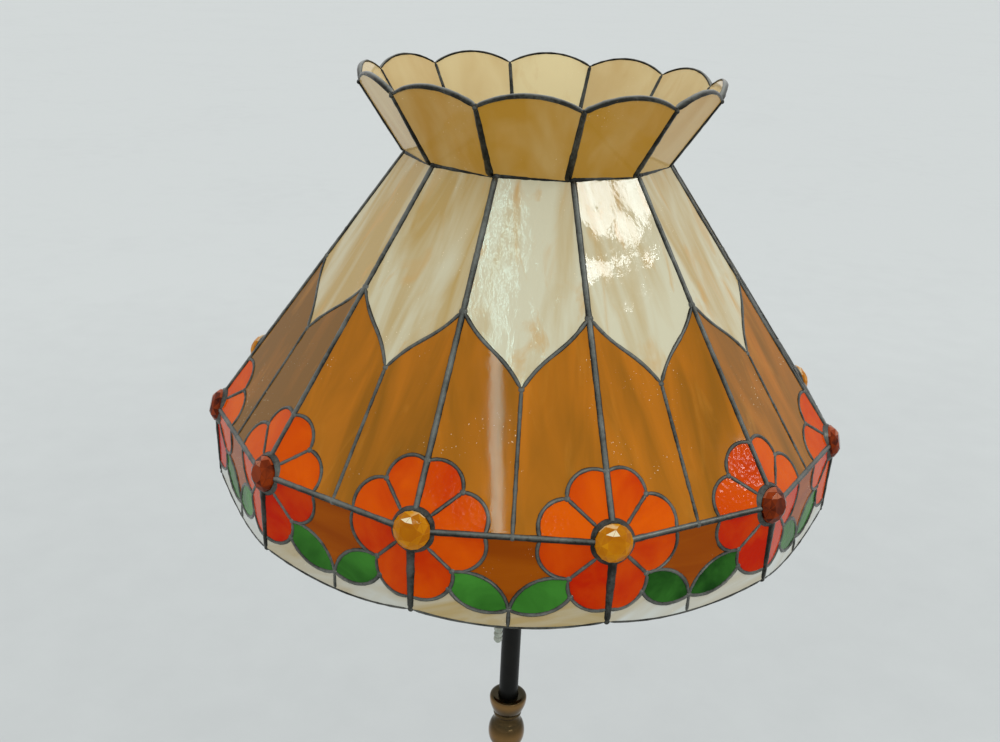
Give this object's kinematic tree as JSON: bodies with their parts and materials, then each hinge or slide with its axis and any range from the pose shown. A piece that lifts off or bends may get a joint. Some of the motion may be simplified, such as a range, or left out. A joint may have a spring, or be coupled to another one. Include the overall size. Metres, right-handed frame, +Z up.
{
  "type": "standing lamp",
  "caption": "Standing lamp with a flared leaded glass shade, flowers and jewels round its belt, on a slim black column with turned brass breaks and a round base.",
  "frame": {"origin": "centre of the felt's underside, on the stand's axis", "axes": "+Z up along the column; -Y towards the front seam of the shade"},
  "size_m": [0.5308, 0.5308, 1.5114],
  "materials": {
    "lead": "dark patina on tin and lead solder",
    "caramel_glass": "streaky opal glass",
    "amber_glass": "streaky opal glass",
    "skirt_glass": "opal glass",
    "cream_glass": "opal glass with amber wisps",
    "petal_glass": "cathedral glass, hammered",
    "leaf_glass": "cathedral glass",
    "amber_jewel": "pressed and faceted",
    "ruby_jewel": "pressed and faceted",
    "opal_glass": "frosted",
    "porcelain": "glazed",
    "black_paint": "satin",
    "brass": "aged and rubbed",
    "steel": "satin",
    "cast_iron": "as cast",
    "felt": "felt",
    "rubber": "matt",
    "fob": "ribbed"
  },
  "bodies": {
    "stand": {"felt_pad": "felt", "base_weight": "cast_iron", "base_shell": "black_paint", "base_nut": "steel", "cord_bushing": "rubber", "base_collar": "brass", "lower_tube": "black_paint", "lower_break": "brass", "middle_tube": "black_paint", "upper_break": "brass", "upper_tube": "black_paint", "lamp_pipe": "steel", "harp_saddle": "steel", "socket_cap": "brass", "socket_shell": "brass", "socket_liner": "porcelain", "harp": "steel"},
    "shade": {"shade_spider": "steel", "lead_frame": "lead", "crown_glass": "caramel_glass", "cone_panel_01": "amber_glass", "cone_panel_02": "amber_glass", "cone_panel_03": "amber_glass", "cone_panel_04": "amber_glass", "cone_panel_05": "amber_glass", "cone_panel_06": "amber_glass", "cone_panel_07": "amber_glass", "cone_panel_08": "amber_glass", "cone_panel_09": "amber_glass", "cone_panel_10": "amber_glass", "cone_panel_11": "amber_glass", "cone_panel_12": "amber_glass", "skirt_panel_01": "skirt_glass", "skirt_panel_02": "skirt_glass", "skirt_panel_03": "skirt_glass", "skirt_panel_04": "skirt_glass", "skirt_panel_05": "skirt_glass", "skirt_panel_06": "skirt_glass", "skirt_panel_07": "skirt_glass", "skirt_panel_08": "skirt_glass", "skirt_panel_09": "skirt_glass", "skirt_panel_10": "skirt_glass", "skirt_panel_11": "skirt_glass", "skirt_panel_12": "skirt_glass", "jewel_01": "amber_jewel", "jewel_02": "ruby_jewel", "jewel_03": "ruby_jewel", "jewel_04": "amber_jewel", "jewel_05": "amber_jewel", "jewel_06": "ruby_jewel", "jewel_07": "ruby_jewel", "jewel_08": "amber_jewel", "jewel_09": "amber_jewel", "jewel_10": "ruby_jewel", "jewel_11": "ruby_jewel", "jewel_12": "amber_jewel"},
    "bulb": {"bulb": "opal_glass"},
    "finial": {"finial": "brass"},
    "pull": {"pull_chain": "steel", "pull_fob": "fob"}
  },
  "joints": [
    {"name": "shade_turn", "type": "hinge", "parent": "stand", "child": "shade", "pos_m": [0, 0, 1.4465], "axis": [0, 0, 1], "continuous": true},
    {"name": "finial_turn", "type": "hinge", "parent": "stand", "child": "finial", "pos_m": [0, 0, 1.4468], "axis": [0, 0, 1], "range_deg": [0, 1800]},
    {"name": "bulb_turn", "type": "hinge", "parent": "stand", "child": "bulb", "pos_m": [0, 0, 1.236], "axis": [0, 0, 1], "range_deg": [0, 1080]},
    {"name": "chain_pull", "type": "slide", "parent": "stand", "child": "pull", "axis": [0, 0, -1], "range_m": [0, 0.008], "stiffness_N_per_m": 250, "springref_m": -0.006}
  ]
}
